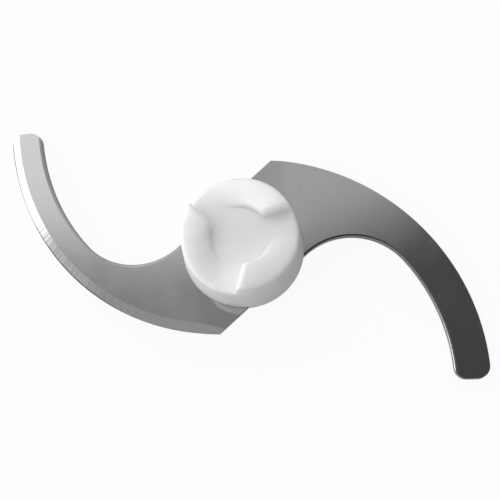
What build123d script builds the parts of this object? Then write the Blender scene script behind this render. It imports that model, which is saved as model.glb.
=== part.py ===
"""Chopper blade: a bent, S-shaped steel plate moulded into a hub with a three-jaw drive coupling.

Millimetres, +Z up along the spindle axis. The origin is on that axis, in the plane of the hub's base.
"""
import os
from math import acos, asin, atan2, cos, degrees, pi, radians, sin, sqrt, tan

from build123d import *

# Blade blank, drawn flat; the second arm is the first one turned half a turn about the spindle axis
plate_thickness = 1.5
arm_centre_x = 4.4
arm_centre_y = -28.7
arm_outer_radius = 47.2
arm_width = 7.5
arm_end_angle = 3.2
tip_corner_radius = 2.6
bay_radius = 14.3
root_edge_angle = 42.8
root_half_width = 9.8
plate_hole_radius = 5.5

# Bends that let both arms droop
bend_offset = 8.0
bend_droop = 10.0
bend_inner_radius = 30.0

# Ground cutting edges: the first arm is ground from below, the second from above and deeper
bevel_width = 2.0
edge_land = 0.15
grind_loss = 0.7

# Die roll left by blanking along the concave edges: it starts gently and gets steep at the wall
roll_width = 0.55
roll_depth = 0.35
roll_steep_width = 0.2
roll_steep_start = 0.1

# Turn by which a cut along an arc runs past the arc's end
edge_overrun = 8.0

# Hub, widest at the mould's parting plane, with draft both ways from there
plate_seat_height = 10.0
hub_radius = 12.5
hub_base_radius = 9.5
hub_draft = 2.5
drive_face_height = 23.5
rim_chamfer = 0.5
base_chamfer = 0.6

# Three ramped jaws on the drive face
jaw_count = 3
jaw_first_angle = 15.6
jaw_height = 4.5
jaw_inner_radius = 6.1
jaw_face_offset = 2.4
jaw_run_out = 0.15
jaw_span = 124.0
jaw_sections = 4
jaw_crown = 0.8
jaw_root_depth = 3.0
jaw_inset = 0.06
jaw_corner_rounding = 1.3
jaw_edge_rounding = 1.0
jaw_rim_chamfer = 0.35

# Blind bore that runs on the bowl's spindle
bore_radius = 4.0
bore_depth = 18.0


def on_circle(centre, radius, angle):
    """Point of a circle at an angle in degrees."""
    return centre + Vector(cos(radians(angle)), sin(radians(angle))) * radius


def bearing(centre, point):
    """Angle in degrees of a point seen from a centre."""
    return degrees(atan2(point.Y - centre.Y, point.X - centre.X))


arm_centre = Vector(arm_centre_x, arm_centre_y)
root_direction = Vector(cos(radians(root_edge_angle)), sin(radians(root_edge_angle)))
root_normal = Vector(root_direction.Y, -root_direction.X)
arm_inner_radius = arm_outer_radius - arm_width
plate_top_height = plate_seat_height + plate_thickness

# The bay between hub and arm is an arc that flows into the root's straight edge and the arm's inner arc
bay_foot = root_normal * (root_half_width + bay_radius)
bay_reach = (bay_foot - arm_centre).dot(root_direction)
bay_gap = (bay_foot - arm_centre).length ** 2 - (arm_inner_radius - bay_radius) ** 2
bay_centre = bay_foot + root_direction * (sqrt(bay_reach**2 - bay_gap) - bay_reach)
bay_start = bay_centre - root_normal * bay_radius
bay_end_angle = bearing(arm_centre, bay_centre)
bay_start_angle = bearing(bay_centre, bay_start)


def tail_angle(outer_radius):
    """Where an arm's outer arc meets the straight edge that ends its root."""
    foot = root_normal * -root_half_width
    reach = (foot - arm_centre).dot(root_direction)
    run = sqrt(reach**2 - (foot - arm_centre).length ** 2 + outer_radius**2) - reach
    return bearing(arm_centre, foot + root_direction * run)


def arm_edges(outer_radius, turn):
    """Bay, inner arc, tip and outer arc of one arm, turned about the spindle axis."""
    tail = tail_angle(outer_radius)
    bay = [
        bay_start,
        on_circle(bay_centre, bay_radius, (bay_start_angle + bay_end_angle) / 2),
        on_circle(arm_centre, arm_inner_radius, bay_end_angle),
    ]
    inner = [
        bay[-1],
        on_circle(arm_centre, arm_inner_radius, (bay_end_angle + arm_end_angle) / 2),
        on_circle(arm_centre, arm_inner_radius, arm_end_angle),
    ]
    outer = [
        on_circle(arm_centre, outer_radius, arm_end_angle),
        on_circle(arm_centre, outer_radius, (arm_end_angle + tail) / 2),
        on_circle(arm_centre, outer_radius, tail),
    ]
    return [[point.rotate(Axis.Z, turn) for point in arc] for arc in (bay, inner, outer)]


outer_radii = {0: arm_outer_radius, 180: arm_outer_radius - grind_loss}

with BuildSketch() as blank:
    with BuildLine():
        arms = [arm_edges(radius, turn) for turn, radius in outer_radii.items()]
        for (bay, inner, outer), (next_bay, _, _) in zip(arms, reversed(arms)):
            ThreePointArc(*bay)
            ThreePointArc(*inner)
            Line(inner[-1], outer[0])
            ThreePointArc(*outer)
            Line(outer[-1], next_bay[0])
    make_face()
    tip_corners = [corner for _, inner, outer in arms for corner in (inner[-1], outer[0])]
    fillet([blank.vertices().sort_by_distance(corner)[0] for corner in tip_corners], tip_corner_radius)
    Circle(plate_hole_radius, mode=Mode.SUBTRACT)

# Frames on the plate's top face in the blank's own coordinates: flat in the middle, and hinged down at
# the bend lines for the arms
middle_plane = Plane((0, 0, plate_top_height))
arm_planes = {
    turn: Plane(
        Location((side * bend_offset, 0, plate_top_height), (0, side * bend_droop, 0))
        * Pos(-side * bend_offset, 0, 0)
    )
    for turn, side in ((0, 1), (180, -1))
}
arm_reach = arm_centre.length + arm_outer_radius
arm_drop = (arm_reach - bend_offset) * tan(radians(bend_droop))
zone_width = arm_reach - bend_offset
zone_centre = (arm_reach + bend_offset) / 2

with BuildPart() as outline:
    for plane, x_middle, x_width in (
        (middle_plane, 0, 2 * bend_offset),
        (arm_planes[0], zone_centre, zone_width),
        (arm_planes[180], -zone_centre, zone_width),
    ):
        with BuildSketch(plane):
            add(blank.sketch)
            with Locations((x_middle, 0)):
                Rectangle(x_width, 2 * arm_reach, mode=Mode.INTERSECT)
        extrude(amount=2 * plate_thickness, both=True)


def bevel_section(outer_radius, from_above):
    """Profile ground off an arm's outer edge, as radius and height over the plate's top face."""
    ground_depth = plate_thickness - edge_land
    root = (outer_radius - bevel_width, 0)
    edge = (outer_radius, -ground_depth)
    corner = (outer_radius + bevel_width, -ground_depth)
    profile = [root, edge, corner, (corner[0], plate_thickness), (root[0], plate_thickness)]
    if from_above:
        return profile
    return [(radius, -plate_thickness - height) for radius, height in profile]


def roll_section(radius):
    """Profile taken off the top of a concave edge."""
    return [
        (radius - roll_width, plate_thickness),
        (radius - roll_width, -roll_depth),
        (radius, -roll_depth),
        (radius + roll_steep_width, -roll_steep_start),
        (radius + roll_width, 0),
        (radius + roll_width, plate_thickness),
    ]


with BuildPart() as s_blade:
    # Bent sheet, seen along the bend lines, then trimmed to the blank's outline
    with BuildSketch(Plane.XZ):
        with BuildLine():
            FilletPolyline(
                (-arm_reach, plate_top_height - arm_drop),
                (-bend_offset, plate_top_height),
                (bend_offset, plate_top_height),
                (arm_reach, plate_top_height - arm_drop),
                radius=bend_inner_radius + plate_thickness,
            )
            offset(amount=plate_thickness, side=Side.RIGHT)
        make_face()
    extrude(amount=arm_reach, both=True)
    add(outline.part, mode=Mode.INTERSECT)

    # Ground cutting edges and rolled concave edges, each turned about the centre of its own arc; the edge
    # ground from below stops at the bend
    bend_angle = degrees(acos((bend_offset - arm_centre_x) / arm_outer_radius))
    last_angles = {0: bend_angle, 180: tail_angle(outer_radii[180]) + edge_overrun}
    for turn, outer_radius in outer_radii.items():
        bevel = bevel_section(outer_radius, from_above=turn == 180)
        first_angle = arm_end_angle - edge_overrun
        for centre, section, start, end in (
            (arm_centre, bevel, first_angle, last_angles[turn]),
            (arm_centre, roll_section(arm_inner_radius), first_angle, bay_end_angle),
            (bay_centre, roll_section(bay_radius), bay_end_angle, bay_start_angle + edge_overrun),
        ):
            frame = Plane(
                arm_planes[turn].location * Location(centre.rotate(Axis.Z, turn), (0, 0, turn + start))
            )
            with BuildSketch(Plane(frame.origin, x_dir=frame.x_dir, z_dir=-frame.y_dir)):
                Polygon(*section, align=None)
            revolve(
                axis=Axis(frame.origin, frame.z_dir),
                revolution_arc=end - start,
                mode=Mode.SUBTRACT,
            )
s_blade.part.label = "s_blade"

draft_slope = tan(radians(hub_draft))
parting_height = plate_seat_height + plate_thickness / 2


def wall_radius(height):
    """Radius of the drafted wall above the parting plane."""
    return hub_radius - (height - parting_height) * draft_slope


# One jaw, its driving face parallel to X: a crowned ramp that leaves the drive face gently, climbs
# clockwise and levels out again before the driving face
jaw_top_height = drive_face_height + jaw_height
jaw_root_height = drive_face_height - jaw_root_depth
crest_angle = degrees(asin(jaw_face_offset / wall_radius(jaw_top_height)))
crown_foot = jaw_inner_radius - jaw_edge_rounding


def ramp_fall(share):
    """Part of the ramp's rise that is lost at a share of its span, counted from the crest."""
    return (1 - cos(pi * share)) / 2


ramp_rise = (jaw_height + jaw_run_out) / (1 - ramp_fall(crest_angle / jaw_span))
ramp_top = drive_face_height - jaw_run_out + ramp_rise


def ramp_edges_by_radius():
    """Edges of the jaw's top face from the spindle axis outwards, without the one where it runs out."""
    edges = jaw.faces().sort_by(Axis.Z)[-1].edges().sort_by(Axis.X)[1:]
    return edges.sort_by_distance((0, 0, ramp_top))


with BuildPart() as jaw:
    for step in range(jaw_sections + 1):
        share = step / jaw_sections
        crown_height = ramp_top - ramp_rise * ramp_fall(share)
        foot_height = crown_height - jaw_crown
        with BuildSketch(Plane.XZ.rotated((0, 0, jaw_span * share))):
            with BuildLine():
                sides = Polyline(
                    (crown_foot, foot_height),
                    (crown_foot, jaw_root_height),
                    (hub_radius, jaw_root_height),
                    (hub_radius, foot_height),
                )
                ThreePointArc(sides @ 0, ((crown_foot + hub_radius) / 2, crown_height), sides @ 1)
            make_face()
    loft()
    with BuildSketch(Plane.XZ):
        with BuildLine():
            Polyline(
                (jaw_inner_radius, jaw_root_height),
                (wall_radius(jaw_root_height) - jaw_inset, jaw_root_height),
                (wall_radius(ramp_top) - jaw_inset, ramp_top),
                (jaw_inner_radius, ramp_top),
                close=True,
            )
        make_face()
    revolve(axis=Axis.Z, mode=Mode.INTERSECT)
    split(bisect_by=Plane.XZ.offset(-jaw_face_offset), keep=Keep.BOTTOM)
    driving_face = jaw.faces().sort_by(Axis.Y)[0]
    fillet(driving_face.edges().sort_by(Axis.X)[0], jaw_corner_rounding)
    chamfer(ramp_edges_by_radius()[-1], jaw_rim_chamfer)
    fillet(ramp_edges_by_radius()[:-1], jaw_edge_rounding)

with BuildPart() as hub:
    with BuildSketch(Plane.XZ):
        with BuildLine():
            Polyline(
                (0, 0),
                (hub_base_radius, 0),
                (hub_radius, parting_height),
                (wall_radius(drive_face_height), drive_face_height),
                (0, drive_face_height),
                close=True,
            )
        make_face()
    revolve(axis=Axis.Z)
    chamfer(hub.edges().group_by(Axis.Z)[-1], rim_chamfer)
    chamfer(hub.edges().group_by(Axis.Z)[0], base_chamfer)
    with PolarLocations(0, jaw_count, start_angle=jaw_first_angle):
        add(jaw.part)
    with BuildSketch():
        Circle(bore_radius)
    extrude(amount=bore_depth, mode=Mode.SUBTRACT)
    add(s_blade.part, mode=Mode.SUBTRACT)
hub.part.label = "hub"

os.makedirs("parts", exist_ok=True)
for piece in (s_blade, hub):
    export_step(piece.part, f"parts/{piece.part.label}.step")
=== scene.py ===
"""Looks of a chopper blade: a polished, S-shaped plate with ground edges in a white moulded hub.

Metres, +Z up along the spindle axis, the origin on that axis in the plane of the hub's base.
"""
import math

import bmesh
import bpy
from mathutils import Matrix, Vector


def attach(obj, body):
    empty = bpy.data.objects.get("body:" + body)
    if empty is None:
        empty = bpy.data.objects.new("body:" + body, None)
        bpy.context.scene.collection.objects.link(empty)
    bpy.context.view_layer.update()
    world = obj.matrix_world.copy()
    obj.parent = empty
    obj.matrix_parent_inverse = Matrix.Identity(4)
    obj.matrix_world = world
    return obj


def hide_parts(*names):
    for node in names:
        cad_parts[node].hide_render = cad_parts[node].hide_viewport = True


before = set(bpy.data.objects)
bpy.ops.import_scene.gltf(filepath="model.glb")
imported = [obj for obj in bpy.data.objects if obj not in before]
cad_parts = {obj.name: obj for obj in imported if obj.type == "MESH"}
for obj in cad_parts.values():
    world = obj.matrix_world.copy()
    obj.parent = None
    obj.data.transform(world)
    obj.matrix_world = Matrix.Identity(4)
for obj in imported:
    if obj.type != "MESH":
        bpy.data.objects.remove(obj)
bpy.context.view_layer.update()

MM = 0.001

# Plate: flat in the middle, then bent down; each arm is an arc about its own centre
PLATE_HEIGHT = 10.75 * MM
PLATE_TOP = 11.5 * MM
ARM_DROOP = math.radians(10.0)
BEND_START = 5.2 * MM
BEND_END = 10.8 * MM
BEND_LINE = 8.0 * MM
ARM_CENTRE = (4.4 * MM, -28.7 * MM)
GROUND_EDGE_RADIUS = 46.5 * MM

# How far a face leans from the sheet tells a ground edge from a blanked wall
GROUND_LEAN = math.radians(25.0)
BLANKED_LEAN = math.radians(45.0)

# Camera of the picture: square frame, lean from straight above, and where the plate's centre lies
PICTURE_PX = 500
PX_PER_MM = 4.84
VIEW_DISTANCE_PX = 2800
PLATE_CENTRE_PX = (243.75, 248.8)
VIEW_LEAN = math.radians(12.0)
VIEW_BEARING = math.radians(-71.3)
SENSOR_MM = 36.0

# Large soft lamp, high on the left, and the narrow strip that whitens the left cutting edge
KEY_DIRECTION = (-0.36, 0.0, 0.93)
KEY_STRENGTH = 1.35
KEY_SPREAD = math.radians(90.0)
STRIP_STRENGTH = 4.0

# Table: half its side, how white the camera sees it, and where its painted glow on the left (a painted
# pool of light that all but camera rays see) starts and is full
TABLE_REACH = 1.5
TABLE_WHITENESS = 0.93
TABLE_PAINTED_GLOW_FROM = -0.055
TABLE_PAINTED_GLOW_FULL = -0.08

MERGE_DISTANCE = 0.002 * MM
PLATE_CREASE = math.radians(10.0)
HUB_CREASE = math.radians(50.0)


class Socket:
    """A shader socket. Arithmetic on it adds Math nodes to its tree."""

    def __init__(self, socket):
        self.socket = socket
        self.tree = socket.id_data

    def math(self, operation, *values):
        return add_node(self.tree, "ShaderNodeMath", {"operation": operation}, dict(enumerate(values)))

    def __add__(self, other):
        return self.math("ADD", self, other)

    def __sub__(self, other):
        return self.math("SUBTRACT", self, other)

    def __mul__(self, other):
        return self.math("MULTIPLY", self, other)

    def __truediv__(self, other):
        return self.math("DIVIDE", self, other)

    def __rsub__(self, other):
        return self.math("SUBTRACT", other, self)

    __radd__ = __add__
    __rmul__ = __mul__

    def ramp(self, low, high, start=0.0, end=1.0, shape="SMOOTHSTEP"):
        """This value mapped from low..high to start..end and held at both ends."""
        inputs = {"Value": self, "From Min": low, "From Max": high, "To Min": start, "To Max": end}
        return add_node(self.tree, "ShaderNodeMapRange", {"interpolation_type": shape}, inputs)


def add_node(tree, kind, settings=None, inputs=None, output=0):
    """A node of any kind: its settings first, then the values or links of its sockets."""
    node = tree.nodes.new(kind)
    for name, value in (settings or {}).items():
        setattr(node, name, value)
    for name, value in (inputs or {}).items():
        if isinstance(value, Socket):
            tree.links.new(value.socket, node.inputs[name])
        else:
            node.inputs[name].default_value = value
    return Socket(node.outputs[output]) if node.outputs else None


def split_xyz(vector):
    tree = vector.tree
    return [add_node(tree, "ShaderNodeSeparateXYZ", inputs={0: vector}, output=axis) for axis in range(3)]


def join_xyz(x, y, z):
    return add_node(x.tree, "ShaderNodeCombineXYZ", inputs={0: x, 1: y, 2: z})


def noise(vector, scale, detail=2.0):
    inputs = {"Vector": vector, "Scale": scale, "Detail": detail}
    return add_node(vector.tree, "ShaderNodeTexNoise", inputs=inputs)


def grey_mix(amount, dark, pale):
    """Colour between a dark and a pale grey."""
    inputs = {"Factor": amount, "A": (dark, dark, dark, 1.0), "B": (pale, pale, pale, 1.0)}
    return add_node(amount.tree, "ShaderNodeMix", {"data_type": "RGBA"}, inputs, output=2)


def bump(height, depth, strength):
    inputs = {"Height": height, "Distance": depth, "Strength": strength}
    return add_node(height.tree, "ShaderNodeBump", inputs=inputs)


def light_path(tree, ray):
    return add_node(tree, "ShaderNodeLightPath", output=ray)


def surface_material(name, make_inputs):
    """A material whose socket values come from a function of the object's own coordinates."""
    material = bpy.data.materials.new(name)
    material.use_nodes = True
    tree = material.node_tree
    tree.nodes.clear()
    point = add_node(tree, "ShaderNodeTexCoord", output="Object")
    surface = add_node(tree, "ShaderNodeBsdfPrincipled", inputs=make_inputs(point))
    add_node(tree, "ShaderNodeOutputMaterial", inputs={"Surface": surface})
    return material


def arc_position(point):
    """Angle and radius, on the sheet before it was bent, about the arc's centre of the point's arm."""
    x, y, z = split_xyz(point)
    side = x.math("SIGN", x)
    reach = x * side
    along = (reach - BEND_LINE) * math.cos(ARM_DROOP) - (z - PLATE_TOP) * math.sin(ARM_DROOP)
    dx = reach.math("MAXIMUM", reach, along + BEND_LINE) - ARM_CENTRE[0]
    dy = y * side - ARM_CENTRE[1]
    return dx.math("ARCTAN2", dy, dx), dx.math("SQRT", dx * dx + dy * dy)


def sheet_steel(point):
    """Polished sheet: hazy, faintly mottled, with a few light specks."""
    haze = noise(point, 110.0, 4.0)
    grain = noise(point, 2400.0)
    specks = noise(point, 1800.0, 0.0).ramp(0.86, 0.885)
    return {
        "Base Color": grey_mix(haze.ramp(0.3, 0.7) * 0.6 + specks * 0.4, 0.585, 0.635),
        "Metallic": 1.0,
        "Roughness": haze.ramp(0.3, 0.7, 0.07, 0.09) + specks * 0.2,
        "Normal": bump(grain, 0.02 * MM, 0.02),
    }


def ground_steel(point):
    """Cutting edge with grinding marks across it and a thin painted dark line along its rim towards the
    tip, standing in for the shaded edge land.
    """
    angle, radius = arc_position(point)
    marks = noise(join_xyz(angle * 105.0, radius * 60.0, angle * 0.0), 1.0, 1.0)
    # Painted shade: a thin dark line along the rim towards the tip, standing in for the shaded narrow
    # edge land beside the bevel
    painted_edge_shade = radius.ramp(GROUND_EDGE_RADIUS - 0.38 * MM, GROUND_EDGE_RADIUS - 0.2 * MM)
    painted_edge_shade = painted_edge_shade * angle.ramp(math.radians(68.0), math.radians(50.0))
    return {
        "Base Color": grey_mix(marks.ramp(0.3, 0.7, 0.92, 1.0) * (1.0 - painted_edge_shade), 0.24, 0.65),
        "Metallic": 1.0,
        "Roughness": marks.ramp(0.3, 0.7, 0.14, 0.2),
        "Normal": bump(marks, 0.05 * MM, 0.65),
    }


def blanked_steel(point):
    """Wall left by the punch: dull, with shear marks through the sheet."""
    angle, radius = arc_position(point)
    _, _, z = split_xyz(point)
    shear = noise(join_xyz(angle * 500.0, radius * 3000.0, z * 150.0), 1.0, 3.0)
    return {
        "Base Color": grey_mix(shear.ramp(0.3, 0.7), 0.34, 0.5),
        "Metallic": 1.0,
        "Roughness": shear.ramp(0.3, 0.7, 0.3, 0.42),
        "Normal": bump(shear, 0.05 * MM, 0.3),
    }


def hub_plastic(point):
    """White moulding with a satin skin and faint draw marks down its wall."""
    x, y, z = split_xyz(point)
    cloud = noise(point, 120.0, 3.0)
    skin = noise(point, 2600.0)
    draw = noise(join_xyz(x.math("ARCTAN2", y, x) * 40.0, z * 25.0, z * 0.0), 1.0, 3.0)
    tone = cloud.ramp(0.3, 0.7) * 0.5 + draw.ramp(0.35, 0.65) * 0.5
    return {
        "Base Color": grey_mix(tone, 0.88, 0.915),
        "Roughness": cloud.ramp(0.3, 0.7, 0.36, 0.44),
        "Subsurface Weight": 0.8,
        "Subsurface Radius": (1.0, 1.0, 1.0),
        "Subsurface Scale": 2.5 * MM,
        "Normal": bump(skin, 0.02 * MM, 0.06),
    }


def dressed_copy(node, name, crease):
    """A piece with a CAD node's form, its triangles joined and shaded smooth up to the crease angle."""
    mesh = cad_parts[node].data.copy()
    mesh.materials.clear()
    piece = bpy.data.objects.new(name, mesh)
    bpy.context.scene.collection.objects.link(piece)
    form = bmesh.new()
    form.from_mesh(mesh)
    bmesh.ops.remove_doubles(form, verts=form.verts, dist=MERGE_DISTANCE)
    for face in form.faces:
        face.smooth = True
        face.material_index = 0
    for edge in form.edges:
        edge.smooth = edge.calc_face_angle(math.pi) < crease
    form.to_mesh(mesh)
    form.free()
    piece.modifiers.new("even_normals", "WEIGHTED_NORMAL").keep_sharp = True
    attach(piece, "root")
    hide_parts(node)
    return piece


def sheet_normal(x):
    """Upward normal of the bent sheet at a place along its length."""
    bent = min(max((abs(x) - BEND_START) / (BEND_END - BEND_START), 0.0), 1.0)
    lean = math.copysign(ARM_DROOP * bent, x)
    return Vector((math.sin(lean), 0.0, math.cos(lean)))


def build_blade():
    blade = dressed_copy("s_blade", "blade", PLATE_CREASE)
    for finish in (sheet_steel, ground_steel, blanked_steel):
        blade.data.materials.append(surface_material(finish.__name__, finish))
    for face in blade.data.polygons:
        along = face.normal.dot(sheet_normal(face.center.x))
        lean = math.acos(min(abs(along), 1.0))
        face.material_index = int(lean > GROUND_LEAN) + int(lean > BLANKED_LEAN)


def build_hub():
    hub = dressed_copy("hub", "hub_moulding", HUB_CREASE)
    hub.data.materials.append(surface_material("hub_plastic", hub_plastic))


def build_floor():
    """Pale table, white to the camera, that still takes the blade's shadow; its left part glows with a
    painted pool of light that reflections and bounce light see.
    """
    material = bpy.data.materials.new("pale_table")
    material.use_nodes = True
    tree = material.node_tree
    tree.nodes.clear()
    seen = light_path(tree, "Is Camera Ray")
    matt = add_node(tree, "ShaderNodeBsdfDiffuse", inputs={"Color": grey_mix(seen, 0.62, 0.95)})
    x, _, _ = split_xyz(add_node(tree, "ShaderNodeTexCoord", output="Object"))
    # Painted light: for all but camera rays the table's left part glows, a pool of light painted on the
    # table where no lamp is
    painted_glow = (1.0 - seen) * x.ramp(TABLE_PAINTED_GLOW_FROM, TABLE_PAINTED_GLOW_FULL)
    white = add_node(tree, "ShaderNodeEmission", inputs={"Color": (1, 1, 1, 1), "Strength": 1.0 + painted_glow})
    whiteness = seen * TABLE_WHITENESS + painted_glow * 0.9
    mixed = add_node(tree, "ShaderNodeMixShader", inputs={0: whiteness, 1: matt, 2: white})
    add_node(tree, "ShaderNodeOutputMaterial", inputs={"Surface": mixed})
    sheet = bmesh.new()
    bmesh.ops.create_grid(sheet, x_segments=1, y_segments=1, size=TABLE_REACH)
    mesh = bpy.data.meshes.new("table")
    sheet.to_mesh(mesh)
    sheet.free()
    mesh.materials.append(material)
    table = bpy.data.objects.new("table", mesh)
    bpy.context.scene.collection.objects.link(table)


def build_studio():
    """White to the camera. Round the object: panels behind and left, a dim room on the right."""
    world = bpy.data.worlds.new("studio")
    bpy.context.scene.world = world
    world.use_nodes = True
    tree = world.node_tree
    tree.nodes.clear()
    right, back, _ = split_xyz(add_node(tree, "ShaderNodeTexCoord", output="Generated"))
    dim = right.ramp(0.0, 0.28, 0.3, 0.08) * back.ramp(0.08, 0.16, 0.4, 1.0)
    panel = right.ramp(-0.44, -0.15, 1.07, 0.5) + right.ramp(-0.06, 0.29, 0.0, 0.09)
    panel = panel * back.ramp(0.26, 0.42, 1.0, 0.7)
    edge = back - right.ramp(0.29, 0.49, 0.0, 0.1, "LINEAR")
    glow = dim + (panel - dim) * edge.ramp(0.182, right.ramp(-0.4, 0.3, 0.217, 0.207))
    glow = glow + back.ramp(0.29, 0.56) * right.ramp(-0.5, 0.1, 0.0, 0.3)
    strip = right.ramp(-0.9, -0.975) * back.ramp(-0.24, -0.08) * back.ramp(0.4, 0.25)
    glow = glow + strip * STRIP_STRENGTH
    glow = glow + right.ramp(-0.7, -0.9) * back.ramp(-0.56, -0.38) * 0.4
    glow = glow + back.ramp(-0.3, -0.6) * 0.28
    seen = light_path(tree, "Is Camera Ray")
    strength = seen + (1.0 - seen) * glow
    studio = add_node(tree, "ShaderNodeBackground", inputs={"Color": (1, 1, 1, 1), "Strength": strength})
    add_node(tree, "ShaderNodeOutputWorld", inputs={"Surface": studio})


def build_lamp():
    """Soft light on the hub; the steel doesn't mirror it."""
    lamp = bpy.data.lights.new("soft_key", "SUN")
    lamp.energy = KEY_STRENGTH
    lamp.angle = KEY_SPREAD
    key = bpy.data.objects.new("soft_key", lamp)
    key.rotation_mode = "QUATERNION"
    key.rotation_quaternion = Vector((0, 0, 1)).rotation_difference(Vector(KEY_DIRECTION))
    key.visible_glossy = False
    bpy.context.scene.collection.objects.link(key)


def build_camera():
    lens = bpy.data.cameras.new("camera")
    lens.sensor_width = SENSOR_MM
    lens.lens = SENSOR_MM * VIEW_DISTANCE_PX / PICTURE_PX
    lens.shift_x = 0.5 - PLATE_CENTRE_PX[0] / PICTURE_PX
    lens.shift_y = PLATE_CENTRE_PX[1] / PICTURE_PX - 0.5
    side = math.sin(VIEW_LEAN)
    towards = Vector((side * math.cos(VIEW_BEARING), side * math.sin(VIEW_BEARING), math.cos(VIEW_LEAN)))
    camera = bpy.data.objects.new("camera", lens)
    camera.rotation_mode = "QUATERNION"
    camera.rotation_quaternion = Vector((0, 0, 1)).rotation_difference(towards)
    camera.location = Vector((0, 0, PLATE_HEIGHT)) + towards * VIEW_DISTANCE_PX / PX_PER_MM * MM
    bpy.context.scene.collection.objects.link(camera)
    bpy.context.scene.camera = camera


build_blade()
build_hub()
build_floor()
build_studio()
build_lamp()
build_camera()
bpy.context.scene.view_settings.view_transform = "Standard"
